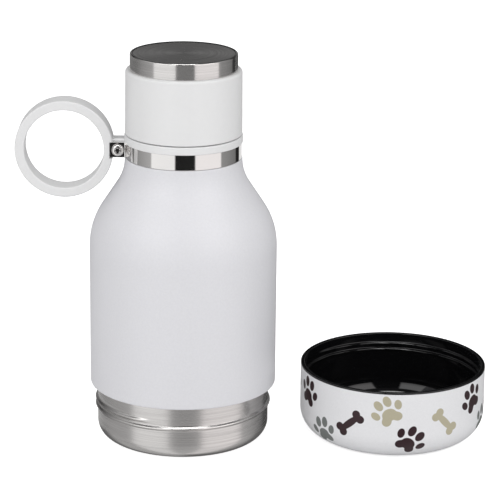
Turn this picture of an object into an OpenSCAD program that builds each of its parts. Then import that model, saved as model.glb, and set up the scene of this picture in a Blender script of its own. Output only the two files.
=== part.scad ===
// Insulated travel bottle for a dog and its owner, with a drinking bowl that screws onto the steel base.
// The bottle stands on the origin, the carry loop points to -X and the bowl stands beside it on +X.

/* [Body] */
// Outside diameter of the bottle, which the bowl matches
body_d = 104; // [86:1:126]
// Height of the straight wall above the steel base
body_wall_h = 79.2; // [60:0.2:110]
// Steepest slope of the shoulder, from vertical
shoulder_slope = 33.3; // [25:0.1:45]
// Radius where the wall rolls into the shoulder
shoulder_r = 41; // [20:1:60]
// Radius where the shoulder rolls up into the neck
shoulder_fillet_r = 26; // [15:1:40]
// Sheet thickness of the outer shell
shell_t = 0.5; // [0.4:0.1:1]
// Sheet thickness of the inner flask
flask_t = 0.4; // [0.3:0.1:1]
// Vacuum gap between shell and flask
vacuum_gap = 3.9; // [2.5:0.1:5]
// Radius of the flask's bottom corner
flask_corner_r = 12; // [6:1:18]
// Space under the flask, over the base
flask_foot_gap = 9; // [6:0.5:12]

/* [Base] */
// Height of the bare steel base
base_h = 31.5; // [24:0.5:38]
// Step from the body's surface in to the steel base
base_step = 4; // [3:0.1:6]
// Radius of the base's bottom corner
base_corner_r = 8.4; // [4:0.1:10]
// Depth of the recess under the base
recess_h = 1.4; // [1.2:0.1:2]
// Diameter of the recess under the base
recess_d = 57; // [30:1:60]
// Thickness of the disc that closes the recess
disc_t = 0.8; // [0.5:0.1:1]
// Diameter of the sealing hole
seal_hole_d = 3; // [2:0.5:5]
// Height of the lap inside the shell, where the two are welded
lap_h = 4; // [3:0.5:6]

/* [Neck] */
// Diameter of the shoulder's top edge, which the band and the lid line up with
stack_d = 64.8; // [54:0.1:70]
// Height of the neck's thread zone above the collar
finish_h = 22.2; // [18:0.1:28]
// Depth of the neck's screw thread
neck_thread_h = 1; // [0.6:0.1:1.2]
// Gap between the shell's neck and the flask's neck
neck_gap = 0.8; // [0.5:0.1:1.2]
// Thickness of the rolled mouth
mouth_t = 1; // [0.8:0.1:2]

/* [Carry loop] */
// Diameter of the loop's hole
loop_hole_d = 43.6; // [36:0.2:60]
// Thickness of the loop's rim, in the plane of the loop
loop_rim = 5.3; // [4:0.1:8]
// Width of the loop, across its plane
loop_w = 14; // [12:0.1:18]
// Edge radius of the loop
loop_edge_r = 0.8; // [0.5:0.1:2.4]
// Height of the loop's centre above the middle of the band
loop_rise = 0.3; // [0:0.1:2]
// Gap between the band and the loop
loop_gap = 6.3; // [5.5:0.1:9]
// Thickness of the tab that the clamp's ears grip
tab_t = 8.4; // [6:0.1:9]
// Height that the tab stands above the band
tab_rise = 1.7; // [0.5:0.1:3]
// Wall of the collar under the band
collar_t = 1.7; // [1.2:0.1:2.5]
// Height of the collar's lip above the band
collar_lip_h = 4.2; // [3:0.1:6]
// How far the lip stands out past the shoulder's top edge
collar_proud = 0.2; // [0:0.1:0.6]

/* [Clamp] */
// Height of the steel band
band_w = 8.6; // [7.6:0.1:12]
// Sheet thickness of the band
band_t = 1; // [0.8:0.1:1.2]
// How far the band lies inside the shoulder's top edge
band_inset = 0.4; // [0.2:0.1:1]
// Inside radius of the fold where the band turns into an ear
fold_r = 1; // [0.8:0.1:1]
// Length of an ear, from the band's surface
ear_l = 8.2; // [8:0.1:10]
// Thread diameter of the clamp screw
screw_d = 4; // [3:1:4]
// Diameter of the screw's head
screw_head_d = 6.8; // [6:0.1:7]
// Height of the screw's head
screw_head_h = 2.2; // [1.6:0.1:2.6]
// Width of the nut across its flats
nut_af = 7; // [6:0.1:7]
// Height of the nut
nut_h = 3.2; // [2.4:0.1:4]
// Diameter of the washer
washer_d = 7; // [6.5:0.1:7]
// Thickness of the washer
washer_t = 0.8; // [0.5:0.1:1]

/* [Lid] */
// Height of the lid's white sleeve
lid_h = 35.6; // [30:0.1:45]
// How far the sleeve's lower edge lies inside the shoulder's top edge
lid_inset = 0.2; // [0.1:0.1:0.6]
// Draft of the sleeve, lower edge to top
lid_draft = 0.2; // [0:0.1:0.5]
// Wall of the sleeve
sleeve_t = 1.85; // [1.5:0.05:2.5]
// Edge radius at the sleeve's top
lid_edge_r = 1.5; // [0.8:0.1:2]
// Ledge between the steel cap and the sleeve's edge
cap_ledge = 2.5; // [2:0.1:4]
// Height of the steel cap above the sleeve
cap_h = 9.1; // [6:0.1:14]
// Sheet thickness of the steel cap
cap_t = 0.6; // [0.4:0.1:0.8]
// Edge radius of the steel cap
cap_edge_r = 0.9; // [0.7:0.1:1.2]
// Depth of the plug below the mouth
plug_l = 11; // [8:0.5:14]
// Wall of the moulded core
core_t = 1.4; // [1.2:0.1:2]
// Thickness of the seal ring
gasket_t = 2; // [1.5:0.1:2.5]
// Gap between the lid and the collar
lid_gap = 0.5; // [0.3:0.1:1]

/* [Bowl] */
// Height of the bowl
bowl_h = 41; // [36:0.5:60]
// Radius of the bowl's bottom corner
bowl_corner_r = 14.9; // [11:0.1:16]
// Sheet thickness of the bowl's steel shell
bowl_shell_t = 0.6; // [0.4:0.1:1]
// Wall of the moulded liner
liner_t = 1.55; // [1.2:0.05:1.8]
// Height of the liner's lip over the shell's edge
lip_h = 1; // [0.8:0.1:2]
// Depth of the screw thread on the base and in the liner
base_thread_h = 1.2; // [0.8:0.1:1.5]
// Width of the non-slip ring under the bowl
foot_w = 7; // [4:0.5:9]
// Thickness of the non-slip ring
foot_t = 1.2; // [1:0.1:2]
// Depth of the groove that holds the non-slip ring
foot_groove = 0.4; // [0.2:0.1:0.8]
// Free space between the bottle and the bowl standing beside it
bowl_apart = 14.6; // [5:0.1:60]
// How far the bowl stands behind the bottle's centre line
bowl_back = 5; // [-20:0.5:20]

/* [Hidden] */
$fn = 96;

white = "#e9e9ec";
steel = "#b9b8b6";
bright_steel = "#d4d3d2";
black = "#17171a";
seal_grey = "#9c9c9c";
foam_white = "#f3f1ea";

// Clearances
fit = 0.05;
screw_fit = 0.15;
thread_fit = 0.35;
seal_fit = 0.3;

// Main radii and heights of the shell
body_r = body_d / 2;
base_r = body_r - base_step;
jacket = shell_t + vacuum_gap;
wall_top = base_h + body_wall_h;
stack_r = stack_d / 2;
ledge_r = 0.6;

// Shoulder: a convex arc, a straight cone and a concave arc that ends upright at the neck
shoulder_drop = body_r - stack_r;
slope = min(shoulder_slope, acos(max(0, 1 - shoulder_drop / (shoulder_r + shoulder_fillet_r))));
cone_l = (shoulder_drop - (shoulder_r + shoulder_fillet_r) * (1 - cos(slope))) / sin(slope);
shoulder_top = wall_top + (shoulder_r + shoulder_fillet_r) * sin(slope) + cone_l * cos(slope);
ledge_z = shoulder_top + ledge_r;

// Neck: the collar's seat, then the thread zone up to the mouth
band_r = stack_r - band_inset;
seat_r = band_r - band_t - fit;
neck_r = seat_r - collar_t - fit;
band_z = ledge_z + 2 * fit;
band_top = band_z + band_w;
collar_top = band_top + 2 * fit + collar_lip_h;
finish_z = collar_top + 1;
mouth_z = finish_z + 1 + finish_h;
finish_r = neck_r - neck_thread_h - 0.2;
flask_neck_r = finish_r - shell_t - neck_gap;

// Base
seal_z = recess_h + shell_t;
bead_d = seal_hole_d + 3;
lap_r = base_r - 0.2;

// Flask: its lower part clears the steel base, and an S-bend leads to the upper part
flask_z = seal_z + flask_foot_gap;
flask_low_r = base_r - jacket;
flask_high_r = body_r - jacket;
bend_z = base_h + jacket;
bend_a = 60;

// Clamp, tab and loop
band_mid_z = band_z + band_w / 2;
ear_in = tab_t / 2;
ear_out = ear_in + band_t;
ear_tip = -(band_r + ear_l);
fold_y = ear_out + fold_r;
fold_x = -sqrt(pow(band_r + fold_r, 2) - pow(fold_y, 2));
screw_x = fold_x - max(screw_head_d, washer_d) / 2 - 0.1;
loop_in_r = loop_hole_d / 2;
loop_out_r = loop_in_r + loop_rim;
loop_x = -(band_r + loop_gap + loop_out_r);
loop_w2 = loop_w / 2;
pocket_gap = 0.3;

// Lid
lid_z = collar_top + lid_gap;
lid_top = lid_z + lid_h;
sleeve_r = stack_r - lid_inset;
sleeve_top_r = sleeve_r - lid_draft;
sleeve_in_r = sleeve_r - sleeve_t;
cap_r = sleeve_top_r - cap_ledge;
cap_top = lid_top + cap_h;
boss_r = cap_r - cap_t - fit;
boss_t = 1.6;
top_t = 2.4;
core_out_r = sleeve_in_r - fit;
core_in_r = finish_r + neck_thread_h + thread_fit;
gasket_z = mouth_z + seal_fit;
ceiling_z = gasket_z + gasket_t + seal_fit;
ceiling_top = ceiling_z + core_t;
plug_r = flask_neck_r - flask_t - 0.5;
plug_z = mouth_z - plug_l;
foam_gap = 0.3;

// Bowl
bowl_r = body_r;
bowl_x = body_r + bowl_r + bowl_apart;
bowl_floor_z = foot_t - foot_groove;
liner_gap = 0.1;
liner_out_r = bowl_r - bowl_shell_t - liner_gap;
liner_in_r = liner_out_r - liner_t;
foot_mid_r = bowl_r - bowl_corner_r - foot_w / 2 - 1;

// Points on an arc about c, from angle a0 to a1
function arc(c, r, a0, a1, n = 8) =
    [for (i = [0:n]) let (a = a0 + (a1 - a0) * i / n) c + r * [cos(a), sin(a)]];

// A list from its end to its start
function back(p) = [for (i = [len(p) - 1:-1:0]) p[i]];

// The shoulder's line, a distance d inside the bottle's surface, from the wall up to the neck
function shoulder_line(d) = concat(
    arc([body_r - shoulder_r, wall_top], shoulder_r - d, 0, slope, 10),
    arc([stack_r + shoulder_fillet_r, shoulder_top], shoulder_fillet_r + d, 180 + slope, 180, 8));

// The flask's line, a distance t inside its outer surface, from the floor's centre to the neck
function flask_line(t) = concat(
    [[0, flask_z + t]],
    arc([flask_low_r - flask_corner_r, flask_z + flask_corner_r], flask_corner_r - t, -90, 0),
    arc([flask_low_r + base_step, bend_z], base_step + t, 180, 180 - bend_a, 4),
    arc([flask_high_r - base_step, bend_z + 2 * base_step * sin(bend_a)], base_step - t, -bend_a, 0, 4),
    shoulder_line(jacket + t),
    [[flask_neck_r - t, shoulder_top + 2.6]]);

// A solid of revolution about the bottle's axis
module turned(points) {
    rotate_extrude($fn = 128)
        polygon(points);
}

// Moves a piece from the bottle's axis to the bowl's place
module at_bowl() {
    translate([bowl_x, bowl_back, 0])
        children();
}

// A cylinder along Y from y0 to y1, through the clamp screw's axis
module along_screw(d, y0, y1, sides = 48) {
    translate([screw_x, y1, band_mid_z])
        rotate([90, 0, 0])
            cylinder(d = d, h = y1 - y0, $fn = sides);
}

// Painted outer wall with the shoulder, the collar's seat and the neck
module outer_shell() {
    edge = 0.8;
    color(white)
        turned(concat(
            [[lap_r + fit, base_h]],
            arc([body_r - edge, base_h + edge], edge, -90, 0, 4),
            shoulder_line(0),
            arc([stack_r - ledge_r, shoulder_top], ledge_r, 0, 90, 4),
            [[neck_r, ledge_z],
            [neck_r, finish_z],
            [finish_r, finish_z + 1],
            [finish_r, mouth_z - mouth_t],
            [finish_r - shell_t, mouth_z - mouth_t],
            [finish_r - shell_t, finish_z + 1 - shell_t / 2],
            [neck_r - shell_t, finish_z - shell_t / 2],
            [neck_r - shell_t, ledge_z - shell_t],
            [stack_r - ledge_r, ledge_z - shell_t]],
            back(shoulder_line(shell_t)),
            [[body_r - shell_t, base_h + shell_t],
            [lap_r + fit, base_h + shell_t]]));
}

// Inner flask, with a mouth that rolls out over the shell's edge
module inner_flask() {
    color(bright_steel)
        turned(concat(
            flask_line(0),
            [[flask_neck_r, mouth_z - mouth_t],
            [finish_r, mouth_z - mouth_t],
            [finish_r, mouth_z - mouth_t / 2]],
            arc([finish_r - mouth_t / 2, mouth_z - mouth_t / 2], mouth_t / 2, 0, 90, 4),
            arc([flask_neck_r - flask_t + mouth_t / 2, mouth_z - mouth_t / 2], mouth_t / 2, 90, 180, 4),
            back(flask_line(flask_t))));
}

// Drawn steel base, the seat of the bowl
module base_cup() {
    recess_r = recess_d / 2;
    color(steel)
        difference() {
            turned(concat(
                [[0, recess_h],
                [recess_r, recess_h],
                [recess_r, 0]],
                arc([base_r - base_corner_r, base_corner_r], base_corner_r, -90, 0),
                [[base_r, base_h - fit],
                [lap_r, base_h - fit],
                [lap_r, base_h + lap_h],
                [base_r - shell_t, base_h + lap_h]],
                arc([base_r - base_corner_r, base_corner_r], base_corner_r - shell_t, 0, -90),
                [[recess_r + shell_t, shell_t],
                [recess_r + shell_t, seal_z],
                [0, seal_z]]));
            translate([0, 0, recess_h - 1])
                cylinder(d = seal_hole_d, h = shell_t + 2, $fn = 48);
        }
}

// Steel disc, flush with the bottom, that hides the sealing point
module base_disc() {
    bevel = 0.2;
    r = recess_d / 2 - fit;
    color(steel)
        turned([[0, 0], [r - bevel, 0], [r, bevel], [r, disc_t], [0, disc_t]]);
}

// Glass bead melted over the hole through which the air was drawn out
module seal_bead() {
    stem_r = seal_hole_d / 2 - fit;
    color(seal_grey)
        turned([[0, recess_h - 0.5],
            [stem_r, recess_h - 0.5],
            [stem_r, seal_z + fit],
            [bead_d / 2, seal_z + fit],
            [bead_d / 2 - 0.4, seal_z + 0.7],
            [stem_r, seal_z + 1.2],
            [0, seal_z + 1.4]]);
}

// Pellet that keeps the vacuum, tacked to the inside of the base
module getter() {
    pellet_d = 9;
    pellet_t = 2;
    color("#6f6f73")
        translate([recess_d / 4, 0, seal_z + fit]) {
            cylinder(d = pellet_d, h = pellet_t, $fn = 48);
            cylinder(d = pellet_d + 3, h = 0.4, $fn = 48);
        }
}

// Flat loop with rounded edges, standing in the XZ plane
module loop_ring() {
    e = loop_edge_r;
    translate([loop_x, 0, band_mid_z + loop_rise])
        rotate([90, 0, 0])
            turned(concat(
                arc([loop_in_r + e, e - loop_w2], e, 180, 270, 5),
                arc([loop_out_r - e, e - loop_w2], e, 270, 360, 5),
                arc([loop_out_r - e, loop_w2 - e], e, 0, 90, 5),
                arc([loop_in_r + e, loop_w2 - e], e, 90, 180, 5)));
}

// Ring round the neck: a seat for the band, and a lip above it
module collar() {
    edge = 0.7;
    lip_r = stack_r + collar_proud;
    lip_z = band_top + fit;
    turned(concat(
        [[neck_r + fit, ledge_z + fit],
        [seat_r, ledge_z + fit],
        [seat_r, lip_z],
        [lip_r - edge / 2, lip_z],
        [lip_r, lip_z + edge / 2]],
        arc([lip_r - edge, collar_top - edge], edge, 0, 90, 4),
        [[neck_r + fit, collar_top]]));
}

// Block that joins the loop to the collar, between the clamp's ears
module loop_tab() {
    root = 0.6;
    x0 = loop_x + loop_out_r - loop_rim * root;
    x1 = -(neck_r + collar_t * root);
    bevel = 0.6;
    top = band_top + tab_rise;
    translate([x0, 0, 0])
        rotate([90, 0, 90])
            linear_extrude(x1 - x0)
                polygon([[-ear_in, band_z],
                    [ear_in, band_z],
                    [ear_in, top - bevel],
                    [ear_in - bevel, top],
                    [bevel - ear_in, top],
                    [-ear_in, top - bevel]]);
}

// Moulded carry loop, tab and collar in one piece, with a pocket on each side for an ear
module carry_loop() {
    pocket_l = loop_rim;
    color(white)
        difference() {
            union() {
                loop_ring();
                loop_tab();
                collar();
            }
            for (side = [-1, 1])
                translate([ear_tip - pocket_gap,
                        side > 0 ? ear_in : -loop_w2 - 1,
                        band_z - pocket_gap])
                    cube([pocket_l, loop_w2 + 1 - ear_in, band_w + 2 * pocket_gap]);
            along_screw(screw_d + 2 * screw_fit, -loop_w2, loop_w2);
        }
}

// The band's line in plan, filled, a distance d inside its outer surface, with ears that reach to x
module band_plan(d, x) {
    c = [fold_x, fold_y];
    a = atan2(-fold_y, -fold_x);
    r = fold_r + d;
    half = concat(
        [c + (r + 0.02) * [cos(a), sin(a)]],
        arc(c, r, a - (a + 90) / 8, -90, 7),
        [[x, ear_out - d]]);
    circle(r = band_r - d, $fn = 128);
    polygon(concat([[0, 0]], half, [for (p = back(half)) [p.x, -p.y]]));
}

// Polished steel band, clamped round the collar by its two folded ears
module clamp_band() {
    color(bright_steel)
        difference() {
            translate([0, 0, band_z])
                linear_extrude(band_w)
                    difference() {
                        band_plan(0, ear_tip);
                        band_plan(band_t, ear_tip - 1);
                    }
            along_screw(screw_d + 2 * screw_fit, -ear_out - 1, ear_out + 1);
        }
}

// Button-head screw through both ears and the tab
module clamp_screw() {
    dome_h = screw_head_h * 0.75;
    head_r = screw_head_d / 2;
    socket_af = 2.5;
    end = ear_out + washer_t + nut_h + 0.8;
    color(bright_steel)
        difference() {
            translate([screw_x, -ear_out, band_mid_z])
                rotate([-90, 0, 0])
                    rotate_extrude($fn = 64)
                        polygon([[0, -screw_head_h],
                            [head_r * 0.55, -screw_head_h],
                            [head_r * 0.78, -screw_head_h * 0.9],
                            [head_r * 0.93, -dome_h * 0.85],
                            [head_r, -screw_head_h * 0.3],
                            [head_r, 0],
                            [screw_d / 2, 0],
                            [screw_d / 2, end + ear_out - 0.4],
                            [screw_d / 2 - 0.4, end + ear_out],
                            [0, end + ear_out]]);
            translate([screw_x, -ear_out - screw_head_h + 1.4, band_mid_z])
                rotate([90, 0, 0])
                    cylinder(d = socket_af / cos(30), h = 2, $fn = 6);
        }
}

// Plain washer under the nut
module clamp_washer() {
    color(bright_steel)
        difference() {
            along_screw(washer_d, ear_out, ear_out + washer_t);
            along_screw(screw_d + 2 * screw_fit, ear_out - 1, ear_out + washer_t + 1);
        }
}

// Hexagon nut at the back
module clamp_nut() {
    y0 = ear_out + washer_t;
    color(bright_steel)
        difference() {
            along_screw(nut_af / cos(30), y0, y0 + nut_h, 6);
            along_screw(screw_d + 2 * fit, y0 - 1, y0 + nut_h + 1);
        }
}

// White outer moulding of the lid, with the boss that carries the steel cap
module lid_sleeve() {
    edge = 0.4;
    color(white)
        turned(concat(
            [[sleeve_in_r, lid_z]],
            arc([sleeve_r - edge, lid_z + edge], edge, -90, 0, 3),
            arc([sleeve_top_r - lid_edge_r, lid_top - lid_edge_r], lid_edge_r, 0, 90, 6),
            [[cap_r + fit, lid_top],
            [cap_r + fit, lid_top - 1],
            [boss_r, lid_top - 1],
            [boss_r, cap_top - cap_t - cap_edge_r - fit],
            [boss_r - cap_edge_r, cap_top - cap_t - fit],
            [boss_r - boss_t, cap_top - cap_t - fit],
            [boss_r - boss_t, lid_top - top_t],
            [sleeve_in_r, lid_top - top_t]]));
}

// Moulded core: the threaded skirt, the sealing ceiling and the plug in one piece
module lid_core() {
    chamfer = 0.5;
    skirt_z = lid_z + 1.2;
    color("#dcdcdf")
        turned(concat(
            [[core_in_r + chamfer, skirt_z],
            [core_out_r, skirt_z],
            [core_out_r, ceiling_top],
            [plug_r - core_t, ceiling_top],
            [plug_r - core_t, plug_z + core_t],
            [0, plug_z + core_t],
            [0, plug_z]],
            arc([plug_r - 2, plug_z + 2], 2, -90, 0, 4),
            [[plug_r, ceiling_z],
            [core_in_r, ceiling_z],
            [core_in_r, skirt_z + chamfer]]));
}

// Insulating foam that fills the plug and the boss
module lid_foam() {
    low_r = plug_r - core_t - foam_gap;
    high_r = boss_r - boss_t - foam_gap;
    color(foam_white)
        turned([[0, plug_z + core_t + foam_gap],
            [low_r, plug_z + core_t + foam_gap],
            [low_r, ceiling_top + foam_gap],
            [high_r, ceiling_top + foam_gap],
            [high_r, cap_top - cap_t - foam_gap],
            [0, cap_top - cap_t - foam_gap]]);
}

// Drawn steel cap, pressed over the sleeve's boss, with a fine rim round its sunk face
module lid_cap() {
    rim = 1.1;
    sunk = 0.25;
    skirt_z = lid_top - 0.9;
    face_r = cap_r - cap_edge_r - rim * 0.3;
    color(steel)
        turned(concat(
            [[cap_r - cap_t, skirt_z],
            [cap_r, skirt_z]],
            arc([cap_r - cap_edge_r, cap_top - cap_edge_r], cap_edge_r, 0, 90, 6),
            [[face_r, cap_top],
            [face_r - sunk, cap_top - sunk],
            [0, cap_top - sunk],
            [0, cap_top - cap_t],
            [boss_r - cap_edge_r, cap_top - cap_t],
            [cap_r - cap_t, cap_top - cap_t - cap_edge_r]]));
}

// Silicone ring that seals the lid on the mouth
module lid_gasket() {
    in_r = plug_r + seal_fit;
    out_r = finish_r - 0.2;
    lip = 0.3;
    color(seal_grey)
        turned([[in_r, gasket_z + lip],
            [in_r + lip, gasket_z],
            [out_r - lip, gasket_z],
            [out_r, gasket_z + lip],
            [out_r, gasket_z + gasket_t - lip],
            [out_r - lip, gasket_z + gasket_t],
            [in_r + lip, gasket_z + gasket_t],
            [in_r, gasket_z + gasket_t - lip]]);
}

// Printed steel shell of the bowl, with a groove for the non-slip ring
module bowl_shell() {
    z0 = bowl_floor_z;
    rc = bowl_r - bowl_corner_r;
    zc = bowl_corner_r;
    floor_in = z0 + bowl_shell_t;
    g0 = foot_mid_r - foot_w / 2;
    g1 = foot_mid_r + foot_w / 2;
    top = bowl_h - lip_h - fit;
    color(white)
        at_bowl()
            turned(concat(
                [[0, z0],
                [g0, z0],
                [g0, z0 + foot_groove],
                [g1, z0 + foot_groove],
                [g1, z0]],
                arc([rc, zc], bowl_corner_r, asin((z0 - zc) / bowl_corner_r), 0, 10),
                [[bowl_r, top],
                [bowl_r - bowl_shell_t, top]],
                arc([rc, zc], bowl_corner_r - bowl_shell_t,
                    0, asin((floor_in + foot_groove - zc) / (bowl_corner_r - bowl_shell_t)), 10),
                [[0, floor_in + foot_groove]]));
}

// Black moulded liner, with a lip over the shell's edge and a step where the base enters
module bowl_liner() {
    rc = bowl_r - bowl_corner_r;
    zc = bowl_corner_r;
    r_out = bowl_corner_r - bowl_shell_t - liner_gap;
    r_in = r_out - liner_t;
    floor_out = bowl_floor_z + bowl_shell_t + foot_groove + liner_gap;
    floor_in = floor_out + liner_t;
    lip_z = bowl_h - lip_h;
    edge = lip_h / 2;
    color(black)
        at_bowl()
            turned(concat(
                [[0, floor_out]],
                arc([rc, zc], r_out, asin((floor_out - zc) / r_out), 0, 10),
                [[liner_out_r, lip_z],
                [bowl_r, lip_z]],
                arc([bowl_r - edge, bowl_h - edge], edge, 0, 90, 4),
                arc([liner_in_r + edge, bowl_h - edge], edge, 90, 180, 4),
                arc([rc, zc], r_in, 0, asin((floor_in - zc) / r_in), 10),
                [[0, floor_in]]));
}

// Rubber ring that keeps the bowl from sliding
module bowl_foot() {
    edge = 0.3;
    r0 = foot_mid_r - foot_w / 2 + fit;
    r1 = foot_mid_r + foot_w / 2 - fit;
    color(black)
        at_bowl()
            turned([[r0 + edge, 0],
                [r1 - edge, 0],
                [r1, edge],
                [r1, foot_t - fit],
                [r0, foot_t - fit],
                [r0, edge]]);
}

outer_shell();
inner_flask();
base_cup();
base_disc();
seal_bead();
getter();
carry_loop();
clamp_band();
clamp_screw();
clamp_nut();
clamp_washer();
lid_sleeve();
lid_core();
lid_foam();
lid_cap();
lid_gasket();
bowl_shell();
bowl_liner();
bowl_foot();
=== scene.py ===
import math

import bmesh
import bpy
import numpy as np
from mathutils import Matrix, Vector


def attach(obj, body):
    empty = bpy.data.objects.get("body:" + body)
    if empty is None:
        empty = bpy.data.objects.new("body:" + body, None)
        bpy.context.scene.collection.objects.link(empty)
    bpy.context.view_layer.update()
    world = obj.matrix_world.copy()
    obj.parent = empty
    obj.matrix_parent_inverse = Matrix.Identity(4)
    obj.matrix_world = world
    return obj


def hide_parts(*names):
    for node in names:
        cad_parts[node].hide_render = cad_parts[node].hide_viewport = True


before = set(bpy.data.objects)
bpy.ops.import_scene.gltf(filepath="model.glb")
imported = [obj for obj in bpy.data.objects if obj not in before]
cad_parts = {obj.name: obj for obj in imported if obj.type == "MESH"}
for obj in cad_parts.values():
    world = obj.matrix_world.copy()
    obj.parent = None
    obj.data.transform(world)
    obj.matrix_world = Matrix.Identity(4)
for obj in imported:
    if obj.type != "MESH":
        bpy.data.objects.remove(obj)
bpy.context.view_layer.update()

# The camera: a long lens 1.4 m in front of the bottle and above it, looking 17 degrees down,
# so that the lid and the bowl show their tops as narrow ellipses. It leans by two thirds of a
# degree, which tips the picture a little.
camera_at = (0.03706, -1.32996, 0.51373)
pitch = math.radians(16.984)
lean = math.radians(0.645)
ahead = np.array([0, math.cos(pitch), -math.sin(pitch)])
level = np.array([1, 0, 0])
above = np.array([0, math.sin(pitch), math.cos(pitch)])
right = math.cos(lean) * level + math.sin(lean) * above
up = math.cos(lean) * above - math.sin(lean) * level

camera = bpy.data.objects.new("camera", bpy.data.cameras.new("camera"))
bpy.context.scene.collection.objects.link(camera)
camera.data.lens = 180
camera.data.sensor_width = 36
camera.data.clip_end = 20
camera.matrix_world = (
    Matrix.Translation(camera_at)
    @ Matrix(np.column_stack((right, up, -ahead)).tolist()).to_4x4()
)
bpy.context.scene.camera = camera
bpy.context.scene.view_settings.view_transform = "Standard"


# The studio: white paper in a white room, with a square lamp on each side. Bare steel sees a
# dimmer room: two tall soft boxes with a dark gap between them, a third box above them, grey
# walls beyond, a dim ceiling, and the floor.
def add(tree, kind, inputs=None, **settings):
    """A node with its settings made. An input given as a socket is linked, any other is set."""
    node = tree.nodes.new(kind)
    for name, value in settings.items():
        setattr(node, name, value)
    for key, value in (inputs or {}).items():
        if isinstance(value, bpy.types.NodeSocket):
            tree.links.new(value, node.inputs[key])
        else:
            node.inputs[key].default_value = value
    return node


def calc(tree, operation, *values):
    """The result of a Math node."""
    return add(tree, "ShaderNodeMath", dict(enumerate(values)), operation=operation).outputs[0]


def mix(tree, share, one, other, how="MIX"):
    """The colour one where share is 0, and the colour other, laid over it, where it is 1."""
    sockets = {0: share, 6: one, 7: other}
    return add(tree, "ShaderNodeMix", sockets, data_type="RGBA", blend_type=how).outputs[2]


def span(tree, value, low, high, to_low=0.0, to_high=1.0):
    """A value between low and high carried over to the range to_low to to_high."""
    sockets = {0: value, 1: low, 2: high, 3: to_low, 4: to_high}
    return add(tree, "ShaderNodeMapRange", sockets).outputs[0]


def between(tree, value, rise, fall):
    """1 between two limits, and 0 outside them. Each is the (low, high) of a soft step."""
    return calc(tree, "MULTIPLY", span(tree, value, *rise), span(tree, value, *fall, 1.0, 0.0))


def ramp(tree, value, stops):
    """The colour for a value, through (value, colour) stops in rising order."""
    low, high = stops[0][0], stops[-1][0]
    node = add(tree, "ShaderNodeValToRGB", {0: span(tree, value, low, high)})
    elements = node.color_ramp.elements
    elements.remove(elements[1])
    elements[0].position = 0
    elements[0].color = (*stops[0][1], 1)
    for at, colour in stops[1:]:
        elements.new((at - low) / (high - low)).color = (*colour, 1)
    return node.outputs["Color"]


def greys(tree, value, stops):
    """The grey for a value, through (value, grey) stops in rising order."""
    return ramp(tree, value, [(at, (grey, grey, grey)) for at, grey in stops])


def scaled(tree, colour, factor):
    """A colour made stronger or weaker by a factor."""
    sockets = {0: colour, "Scale": factor}
    return add(tree, "ShaderNodeVectorMath", sockets, operation="SCALE").outputs[0]


studio = bpy.data.worlds.new("studio")
bpy.context.scene.world = studio
studio.use_nodes = True
room = studio.node_tree
room.nodes.clear()
ray = add(room, "ShaderNodeLightPath").outputs

# A direction's height runs from -1 to 1, and its turn in degrees from the camera's side, to
# the right. An upright steel wall sees the room at one height between -0.2 and -0.4.
towards = add(room, "ShaderNodeTexCoord").outputs["Generated"]
east, north, height = add(room, "ShaderNodeSeparateXYZ", {0: towards}).outputs
turn = calc(
    room, "DEGREES", calc(room, "ARCTAN2", east, calc(room, "MULTIPLY", north, -1.0))
)

# the walls and the two boxes, which spread a little towards the floor
box, warm, gap, unlit = 1.08, 0.97, 0.012, 0.02
walls = [  # turn, grey, and how much green and blue there is for red
    (-180, 0.14, 1), (-120, 0.14, 1), (-100, 0.34, 1), (-66, 0.5, 1),
    (-64, box, 1), (-16, box, 1), (-14.5, gap, 1), (23.5, gap, 1),
    (25, box, warm), (79.5, box, warm), (81.5, 0.34, 1), (125, 0.2, 1), (128, unlit, 1),
    (180, unlit, 1),
]
spread = calc(room, "MULTIPLY", turn, span(room, height, -0.37, -0.25, 0.91, 1.0))
bands = ramp(room, spread, [(at, (v, v * tint, v * tint)) for at, v, tint in walls])

# what lies far behind the walls and the gap, which is never darker than this at its height
far = greys(room, height, [
    (-0.4, 0.53), (-0.31, 0.5), (-0.285, 0.0), (-0.24, 0.0), (-0.23, 0.2), (-0.2, 0.3),
    (0.05, 0.3), (0.15, 0.0), (0.2, 0.0),
])
lifted = mix(room, span(room, turn, 100, 130, 1.0, 0.1), bands, far, "LIGHTEN")

# the floor, which is dark behind the object's foot
on_floor = mix(room, span(room, height, -0.8, -0.3, 0.2, 0.0), lifted, (0.6, 0.6, 0.6, 1))
at_foot = calc(
    room, "MULTIPLY", span(room, north, 0.35, 0.6), span(room, height, -0.42, -0.36, 1.0, 0.0)
)
by_foot = mix(room, at_foot, on_floor, (0.15, 0.15, 0.15, 1))

# a white strip behind on the right, which the polished band shows at its right end
strip = calc(
    room, "MULTIPLY", span(room, turn, 143, 145),
    between(room, height, (-0.275, -0.265), (-0.244, -0.24)),
)
with_strip = mix(room, strip, by_foot, (0.9, 0.9, 0.9, 1))

# the ceiling, which comes down to the floor behind the object, and the boxes up to it
boxes = scaled(room, with_strip, span(room, height, 0.28, 0.5, 1.0, 2.0))
ceiling = greys(room, height, [
    (0, 0.2), (0.22, 0.2), (0.27, 0.015), (0.36, 0.015), (0.5, 0.09), (1, 0.1),
])
edge = span(room, calc(room, "ABSOLUTE", turn), 128, 143, 0.75, -0.1)
over_edge = span(room, calc(room, "SUBTRACT", height, edge), 0.0, 0.03)
under_ceiling = mix(room, over_edge, boxes, ceiling)

# the third box, almost overhead
box_middle = 5
off_middle = calc(room, "ABSOLUTE", calc(room, "SUBTRACT", turn, box_middle))
third = calc(
    room, "MULTIPLY", span(room, off_middle, 45, 75, 1.0, 0.0),
    between(room, height, (0.91, 0.925), (0.985, 0.992)),
)
in_steel = mix(room, third, under_ceiling, (7, 7, 7, 1))

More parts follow.
